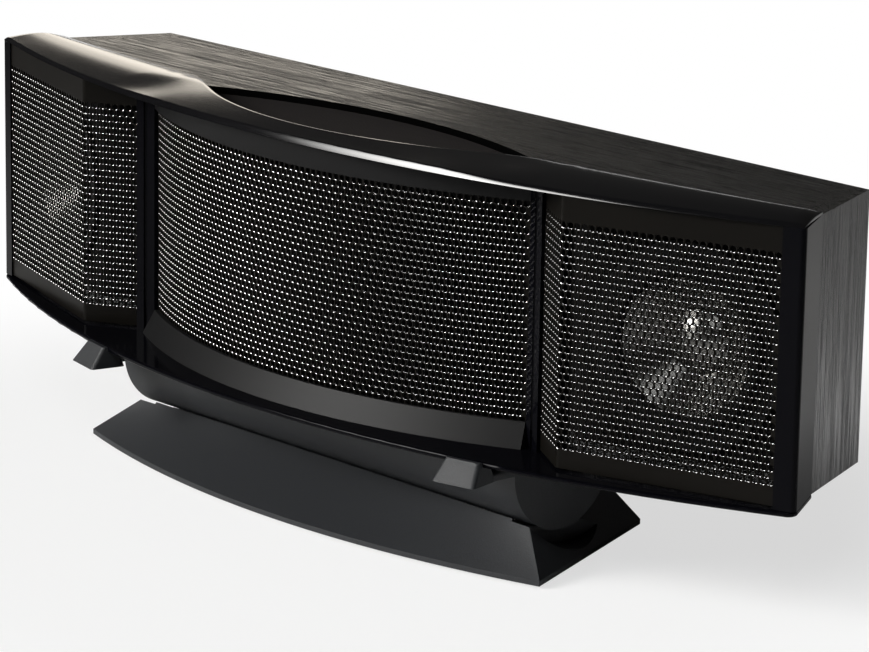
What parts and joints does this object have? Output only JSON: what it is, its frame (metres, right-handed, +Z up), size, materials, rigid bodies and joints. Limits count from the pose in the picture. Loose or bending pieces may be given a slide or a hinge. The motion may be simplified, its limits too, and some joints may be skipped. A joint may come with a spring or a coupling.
{
  "type": "center channel speaker",
  "caption": "Wide bow-fronted speaker with a curved perforated panel between raked grilles, on a rocker that tilts in a bow-fronted stand.",
  "frame": {"origin": "on the floor under the tilt axis, in the middle of the width", "axes": "+X to the right as seen from the front, +Y to the back, +Z up"},
  "size_m": [0.7492, 0.2234, 0.2466],
  "materials": {
    "charcoal": "fine textured charcoal paint",
    "mat_rubber": "plain rubber",
    "felt": "dense felt",
    "veneer": "black open-grain veneer, satin",
    "bare_board": "board, painted matt black",
    "gloss_black": "polished black",
    "vent_cloth": "stretched woven cloth",
    "perforated_steel": "gloss black coating",
    "film": "clear coated film",
    "insulator": "plain",
    "rail": "black",
    "satin_grey": "satin dark grey",
    "frame_metal": "black coated casting",
    "surround_rubber": "moulded",
    "cone_metal": "spun, satin",
    "copper": "enamelled winding",
    "spider_cloth": "resin-treated cloth",
    "magnet": "sintered, plain",
    "pole_steel": "turned",
    "screw_steel": "black oxide",
    "circuit_green": "solder mask",
    "component_plastic": "moulded",
    "plate_aluminium": "black anodised",
    "post_brass": "gold plated",
    "nut_red": "moulded",
    "nut_black": "moulded",
    "inlet_black": "moulded"
  },
  "bodies": {
    "stand": {"base": "charcoal", "base_mat": "mat_rubber", "cradle_liner": "felt"},
    "speaker": {"bias_supply": "component_plastic", "board_feet": "component_plastic", "bottom_panel": "veneer", "bottom_plate": "gloss_black", "bottom_rail": "satin_grey", "crossover_board": "circuit_green", "crossover_parts": "component_plastic", "diaphragm": "film", "front_stator": "perforated_steel", "left_baffle": "bare_board", "left_divider": "bare_board", "left_end_post": "gloss_black", "left_grille": "perforated_steel", "left_inner_post": "gloss_black", "left_side_panel": "veneer", "left_woofer_cap": "cone_metal", "left_woofer_coil": "copper", "left_woofer_cone": "cone_metal", "left_woofer_frame": "frame_metal", "left_woofer_magnet": "magnet", "left_woofer_pole": "pole_steel", "left_woofer_screws": "screw_steel", "left_woofer_spider": "spider_cloth", "left_woofer_surround": "surround_rubber", "negative_post": "post_brass", "positive_post": "post_brass", "power_inlet": "inlet_black", "rear_panel": "veneer", "rear_stator": "perforated_steel", "right_baffle": "bare_board", "right_divider": "bare_board", "right_end_post": "gloss_black", "right_grille": "perforated_steel", "right_inner_post": "gloss_black", "right_side_panel": "veneer", "right_woofer_cap": "cone_metal", "right_woofer_coil": "copper", "right_woofer_cone": "cone_metal", "right_woofer_frame": "frame_metal", "right_woofer_magnet": "magnet", "right_woofer_pole": "pole_steel", "right_woofer_screws": "screw_steel", "right_woofer_spider": "spider_cloth", "right_woofer_surround": "surround_rubber", "rocker_screws": "screw_steel", "stator_spacers": "insulator", "step_up_transformer": "magnet", "terminal_plate": "plate_aluminium", "terminal_screws": "screw_steel", "tilt_rocker": "charcoal", "top_panel": "veneer", "top_rail": "rail", "top_trim": "gloss_black", "vent_cloth": "vent_cloth"},
    "positive_nut": {"positive_nut": "nut_red"},
    "negative_nut": {"negative_nut": "nut_black"}
  },
  "joints": [
    {"name": "tilt", "type": "hinge", "parent": "stand", "child": "speaker", "pos_m": [0, 0, 0.0615], "axis": [1, 0, 0], "range_deg": [-15, 15]},
    {"name": "positive_nut_turn", "type": "hinge", "parent": "speaker", "child": "positive_nut", "pos_m": [0.0095, 0.1238, 0.16965], "axis": [0, 1, 0], "continuous": true},
    {"name": "negative_nut_turn", "type": "hinge", "parent": "speaker", "child": "negative_nut", "pos_m": [-0.0095, 0.1238, 0.16965], "axis": [0, 1, 0], "continuous": true}
  ]
}
